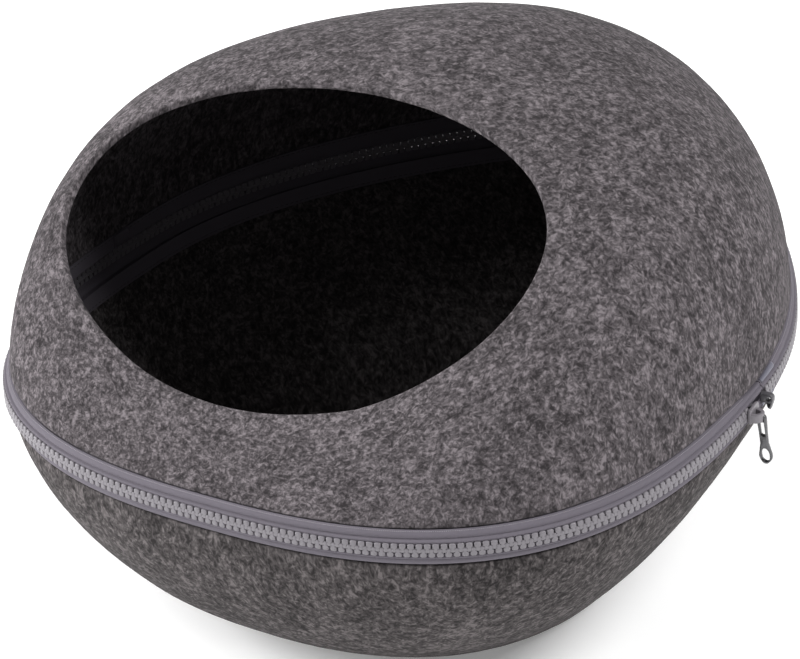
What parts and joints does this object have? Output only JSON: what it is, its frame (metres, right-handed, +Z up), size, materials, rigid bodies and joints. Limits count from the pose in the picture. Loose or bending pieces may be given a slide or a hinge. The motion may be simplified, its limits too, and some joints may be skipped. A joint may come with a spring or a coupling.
{
  "type": "felt cat cave",
  "caption": "Egg-shaped pet bed of two moulded felt halves joined by a zip all round, with an oval entrance in the sloping front of the dome.",
  "frame": {"origin": "middle of the flat base, on the surface it stands on", "axes": "+Z up; the entrance and the blunt end of the egg face -Y; +X is the side with the zip's slider"},
  "size_m": [0.3958, 0.46, 0.2745],
  "materials": {
    "grey_felt": "pressed heather-grey felt with pale and dark fibres",
    "zip_tape": "woven grey tape with fine ribs",
    "zip_teeth": "moulded grey plastic, satin",
    "gunmetal": "dark gunmetal, smooth with pale worn edges",
    "box_plastic": "dark moulded plastic",
    "end_film": "bluish stiffening film on the tape's end"
  },
  "bodies": {
    "root": {"upper_shell": "grey_felt", "lower_shell": "grey_felt", "tape_upper": "zip_tape", "tape_lower": "zip_tape", "inner_tape_join": "zip_tape", "teeth_upper": "zip_teeth", "teeth_lower": "zip_teeth", "slider_body": "gunmetal", "slider_bail": "gunmetal", "pull_tab": "gunmetal", "zip_box": "box_plastic", "end_patch_upper": "end_film", "end_patch_lower": "end_film"}
  },
  "joints": []
}
